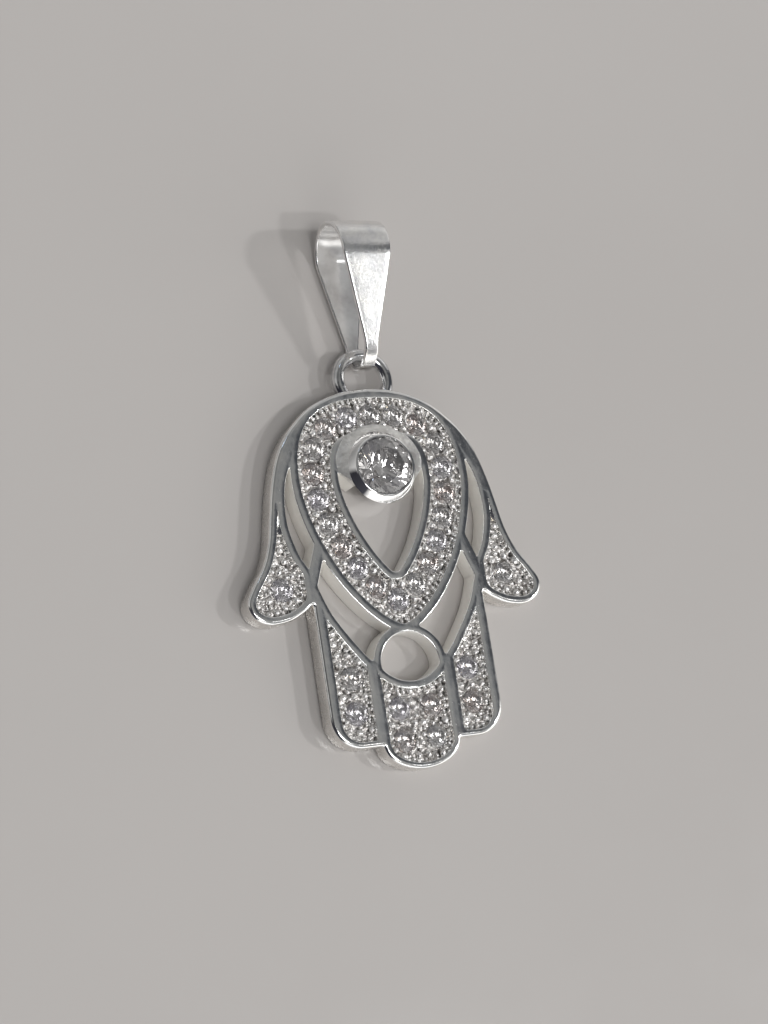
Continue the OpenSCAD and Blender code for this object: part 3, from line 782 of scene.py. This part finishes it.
def build_collar():
    """A hollow slope from the band's inner rim up to the cup, cut off on a slant over the window."""
    (bx, by), (ax, ay) = (p - (0.0, CUP_Y) for p in collar_low[1:])
    inner = CUP_R - 0.04
    spread_out, blend, thick = 0.14, 16.0, 0.01  # the foot spreads out to the rim over blend degrees

    def slant(a):
        """Distance from the cup's centre to the line of the slanted cut."""
        ex, ey = bx - ax, by - ay
        return (ax * ey - ay * ex) / (math.cos(a) * ey - math.sin(a) * ex)

    def rim_edge(a):
        """Distance from the cup's centre to just within the band's inner rim."""
        low, high = 2.4, 5.0
        for _ in range(24):
            mid = (low + high) / 2
            if sample(BAND_ISLAND, mid * math.cos(a), CUP_Y + mid * math.sin(a)) < 0:
                low = mid
            else:
                high = mid
        return low - 0.04

    first, full = math.degrees(math.atan2(by, bx)) + 1.0, math.degrees(math.atan2(ay, ax))
    turns, rows = 120, 9
    points, faces = [], []
    for k in range(turns + 1):
        degrees = first + (180 - 2 * first) * k / turns
        side = min(degrees, 180 - degrees)
        a, mirror = math.radians(side), 1 if degrees <= 90 else -1
        share = min(max((side - full) / blend, 0.0), 1.0)
        share = share * share * (3 - 2 * share)
        foot = COLLAR_R + min(max(rim_edge(a) - COLLAR_R, 0.0), spread_out) * share
        power = 1.2 + 0.3 * share
        outer = min(foot, slant(a)) if side < full else foot
        outer = max(outer, inner + thick)
        line = [(outer, PLATE_T - 0.1)]
        for j in range(rows):
            r = outer + (inner - outer) * j / (rows - 1)
            rise = min(max((foot - r) / (foot - inner), 0.0), 1.0) ** power
            line.append((r, PLATE_T + COLLAR_H * rise + 0.004))
        points += [(mirror * r * math.cos(a), CUP_Y + r * math.sin(a), z) for r, z in line]
    n = rows + 1
    for k in range(turns):
        for j in range(rows):
            a, b = k * n + j, (k + 1) * n + j
            faces.append((a, b, b + 1, a + 1))
    return make_piece("collar", points, faces, COLLAR_SILVER, sharp=40.0, weld=False)


def build_ring():
    """A ring of round wire, a little fuller inwards than the solid's, its ends sunk into the top edge."""
    wire = WIRE_D * 1.05
    ring_r = (RING_D - wire) / 2
    y, z = HAND_H + RING_RISE, PLATE_T - RING_DROP - WIRE_D / 2
    sweep = 180 + 2 * math.degrees(math.asin((RING_RISE + WIRE_D * SINK_SHARE) / ring_r))
    points, faces = [], []
    steps, around = 80, 24
    for k in range(steps + 1):
        a = math.radians(90 - sweep / 2 + sweep * k / steps)
        for j in range(around):
            b = 2 * math.pi * j / around
            reach = ring_r + wire / 2 * math.cos(b)
            points.append((reach * math.cos(a), y + reach * math.sin(a), z + wire / 2 * math.sin(b)))
    for k in range(steps):
        for j in range(around):
            a, b = k * around + j, k * around + (j + 1) % around
            faces.append((a, a + around, b + around, b))
    return make_piece("ring", points, faces, RING_SILVER, sharp=60.0)


# The bail

def build_bail():
    """A tapered strip folded into a loop, slightly rounded across, with its big end for the chain."""
    big, small = BAIL_HIGH / 2, BAIL_LOW / 2
    span = BAIL_LEN - big - small
    tilt = math.asin((big - small) / span)
    ring_r = (RING_D - WIRE_D) / 2
    ring_z = PLATE_T - RING_DROP - WIRE_D / 2
    reach, down = small - STRIP_T - WIRE_D / 2 - BAIL_GAP, small - ring_z
    y0 = HAND_H + RING_RISE + ring_r + math.sqrt(reach * reach - down * down)

    # The strip's middle line, seen from the side, with its outward direction: the small end, then the upper
    # leg, the big end and the lower leg
    route = []
    for centre, r, start, stop, steps in (
        (0.0, small, 3 * math.pi / 2 - tilt, math.pi / 2 + tilt, 24),
        (span, big, math.pi / 2 + tilt, -math.pi / 2 - tilt, 44),
    ):
        for k in range(steps + 1):
            a = start + (stop - start) * k / steps
            route.append((centre + (r - STRIP_T / 2) * math.cos(a), (r - STRIP_T / 2) * math.sin(a), a))
    line = []
    for (u, w, a), (u2, w2, a2) in zip(route, route[1:] + route[:1]):
        gap = math.hypot(u2 - u, w2 - w)
        cuts = max(int(gap / 0.25), 1)
        for k in range(cuts):
            t = k / cuts
            turn = a2 if cuts > 1 and t > 0 else a
            line.append((u + (u2 - u) * t, w + (w2 - w) * t, turn))

    # Shares of the way between the two ends' centres, and of the way from the narrow to the wide end
    places = (-(small + 1) / span, 0.0, 0.49, 0.97, 1 + (big + 1) / span)
    widths = (0.0, 0.0, 0.42, 0.83, 1.0)

    def half_width(u):
        share = np.interp(u / span, places, widths)
        return (BAIL_NARROW + (BAIL_WIDE - BAIL_NARROW) * share) / 2

    edge, rounding = 0.12, 0.024
    corner = corner_arc(edge)
    across = [k / 4 for k in range(-4, 5)]
    points, faces = [], []
    for u, w, a in line:
        half, t = half_width(u), STRIP_T / 2
        flat, camber = half - edge, rounding * half
        upper = [(half + x, t - camber - d) for x, d in corner]
        lower = [(half + x, d - t) for x, d in corner]
        section = [(flat * k, t - camber * k * k) for k in across[:-1]]
        section += upper + lower[::-1]
        section += [(-x, off) for x, off in lower + upper[::-1]]
        section.pop()
        for x, off in section:
            du, dw = off * math.cos(a), off * math.sin(a)
            uu, ww = u + du, w + dw
            points.append((
                x,
                y0 + uu * math.cos(tilt) - ww * math.sin(tilt),
                small + uu * math.sin(tilt) + ww * math.cos(tilt),
            ))
    n, rows = len(points) // len(line), len(line)
    for k in range(rows):
        for j in range(n):
            a, b = k * n + j, k * n + (j + 1) % n
            c, d = ((k + 1) % rows) * n + j, ((k + 1) % rows) * n + (j + 1) % n
            faces.append((a, c, d, b))
    piece = make_piece("bail_strip", points, faces, BAIL_SILVER, sharp=50.0, weld=False)
    piece.data.materials.append(BAIL_INSIDE)
    inner = len(across) + 2 * len(corner) - 2
    for face in piece.data.polygons:
        if face.index % n == inner:
            face.material_index = 1
    return piece


plate = build_plate()
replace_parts(plate, "hand_frame")
build_floors()
build_seats()
build_beads()
build_cup()
build_collar()
build_ring()
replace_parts(build_bail(), "bail")

for number, (name, node) in enumerate(sorted(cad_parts.items())):
    if "stone" in name:
        node.data.materials.clear()
        node.data.materials.append(MAIN_TINT if name == "main_stone" else STONE_TINTS[number % 3])


# The table, the light and the camera

def build_table():
    """A flat top just below the back of the pendant."""
    mesh = bpy.data.meshes.new("table")
    half = 1.5
    corners = [(-half, -half, 0), (half, -half, 0), (half, half, 0), (-half, half, 0)]
    mesh.from_pydata(corners, [], [(0, 1, 2, 3)])
    mesh.materials.append(table_material())
    table = bpy.data.objects.new("table", mesh)
    table.location.z = -0.02 * MM
    bpy.context.collection.objects.link(table)


def direction(azimuth, elevation):
    """Azimuth from +X towards +Y, and elevation above the table, in degrees."""
    a, e = math.radians(azimuth), math.radians(elevation)
    return Vector((math.cos(a) * math.cos(e), math.sin(a) * math.cos(e), math.sin(e)))


LAMP_DISTANCE = 2.0


def add_light(name, azimuth, elevation, size, power, colour=(1, 1, 1), mirrored_by_metal=True):
    """A round soft lamp that shines on the pendant from one direction."""
    light = bpy.data.lights.new(name, "AREA")
    light.shape = "DISK"
    light.size = size
    light.energy = power
    light.color = colour
    lamp = bpy.data.objects.new(name, light)
    lamp.visible_glossy = mirrored_by_metal
    lamp.location = direction(azimuth, elevation) * LAMP_DISTANCE
    lamp.rotation_mode = "QUATERNION"
    lamp.rotation_quaternion = direction(azimuth, elevation).to_track_quat("Z", "Y")
    bpy.context.collection.objects.link(lamp)


def patch(nodes, links, normal, azimuth, elevation, inner, outer):
    """1 within the inner angle of a direction and 0 beyond the outer one."""
    dot = nodes.new("ShaderNodeVectorMath")
    dot.operation = "DOT_PRODUCT"
    dot.inputs[1].default_value = direction(azimuth, elevation)
    links.new(normal, dot.inputs[0])
    low, high = math.cos(math.radians(outer)), math.cos(math.radians(inner))
    return spread(nodes, links, dot.outputs["Value"], low, high, 0.0, 1.0)


def product(nodes, links, first, second):
    times = nodes.new("ShaderNodeMath")
    times.operation = "MULTIPLY"
    links.new(first, times.inputs[0])
    links.new(second, times.inputs[1])
    return times.outputs["Value"]


def along(nodes, links, normal, azimuth):
    """How far a direction leans towards a level one."""
    dot = nodes.new("ShaderNodeVectorMath")
    dot.operation = "DOT_PRODUCT"
    dot.inputs[1].default_value = direction(azimuth, 0)
    links.new(normal, dot.inputs[0])
    return dot.outputs["Value"]


def build_world():
    """A pale room, brighter in front on the right, with a dim ceiling, a dark upright stretch on the
    right and a dark place behind the camera."""
    world = bpy.data.worlds.new("studio")
    bpy.context.scene.world = world
    world.use_nodes = True
    nodes, links = world.node_tree.nodes, world.node_tree.links
    back = nodes["Background"]
    normal = nodes.new("ShaderNodeTexCoord").outputs["Generated"]
    split = nodes.new("ShaderNodeSeparateXYZ")
    links.new(normal, split.inputs["Vector"])
    height = split.outputs["Z"]
    # The room's colours from straight below to straight above
    ramp = nodes.new("ShaderNodeValToRGB")
    stops = [
        (0.0, (0.75, 0.74, 0.73)), (0.3, (1.2, 1.19, 1.17)), (0.55, (1.05, 1.04, 1.02)),
        (0.72, (0.55, 0.545, 0.54)), (0.84, (0.22, 0.222, 0.22)), (1.0, (0.27, 0.27, 0.265)),
    ]
    elements = ramp.color_ramp.elements
    while len(elements) < len(stops):
        elements.new(0.5)
    for element, (position, tint) in zip(elements, stops):
        element.position = position
        element.color = (*tint, 1)
    links.new(height, ramp.inputs["Fac"])
    lean = along(nodes, links, normal, -50)
    links.new(spread(nodes, links, lean, -1.0, 1.0, 0.32, 1.62), back.inputs["Strength"])
    # The dark upright stretch
    aside = nodes.new("ShaderNodeMath")
    aside.operation = "ABSOLUTE"
    links.new(along(nodes, links, normal, 105), aside.inputs[0])
    upright = product(
        nodes, links,
        spread(nodes, links, aside.outputs["Value"], 0.12, 0.30, 1.0, 0.0),
        spread(nodes, links, along(nodes, links, normal, 15), 0.0, 0.2, 0.0, 1.0),
    )
    upright = product(nodes, links, upright, spread(nodes, links, height, 0.845, 0.89, 1.0, 0.0))
    colour = ramp.outputs["Color"]
    # Places by azimuth, elevation, inner and outer angle, with their colours
    for share, tint in (
        (patch(nodes, links, normal, 55, 35, 16, 30), (0.54, 0.535, 0.53)),
        (patch(nodes, links, normal, -56, 38, 12, 24), (0.20, 0.20, 0.205)),
        (patch(nodes, links, normal, 19, 58, 3, 11), (0.18, 0.184, 0.19)),
        (upright, (0.05, 0.053, 0.06)),
        (patch(nodes, links, normal, 200, 62, 14, 27), (0.05, 0.05, 0.055)),
        (patch(nodes, links, normal, 216, 40, 20, 32), (0.04, 0.04, 0.055)),
        (patch(nodes, links, normal, 207, 10, 28, 39), (0.05, 0.05, 0.06)),
    ):
        mix = nodes.new("ShaderNodeMix")
        mix.data_type = "RGBA"
        links.new(share, mix.inputs["Factor"])
        links.new(colour, mix.inputs["A"])
        mix.inputs["B"].default_value = (*tint, 1)
        colour = mix.outputs["Result"]
    links.new(colour, back.inputs["Color"])


def build_camera():
    """The photo's camera: where it stands, where it looks and how far it rolls."""
    eye = Vector((-53.086, -7.669 - MID_Y, 110.1)) * MM
    aim = Vector((0.567, 16.651 - MID_Y, 0.0)) * MM
    roll = Matrix.Rotation(math.radians(59.22), 4, "Z").to_quaternion()
    data = bpy.data.cameras.new("camera")
    data.sensor_width = 36.0
    data.lens = 68.457
    data.clip_start, data.clip_end = 0.005, 10.0
    camera = bpy.data.objects.new("camera", data)
    camera.location = eye
    camera.rotation_mode = "QUATERNION"
    camera.rotation_quaternion = (aim - eye).to_track_quat("-Z", "Y") @ roll
    bpy.context.collection.objects.link(camera)
    bpy.context.scene.camera = camera


build_table()
build_world()
add_light("key_right", -10, 45, size=0.14, power=6.4)
add_light("key_front", -52, 55, size=0.14, power=4.1, mirrored_by_metal=False)
add_light("key_front_glint", -52, 55, size=0.14, power=0.8)
add_light("high_front", -95, 74, size=0.7, power=8.1)
add_light("front_soft", -20.5, 63.5, size=0.22, power=0.45)
add_light("back_soft", 105, 52, size=0.12, power=0.15, colour=(0.6, 0.75, 1.0))
add_light("left_soft", -105, 45, size=0.12, power=0.3, colour=(1.0, 0.85, 0.6))
build_camera()
bpy.context.scene.view_settings.view_transform = "Standard"
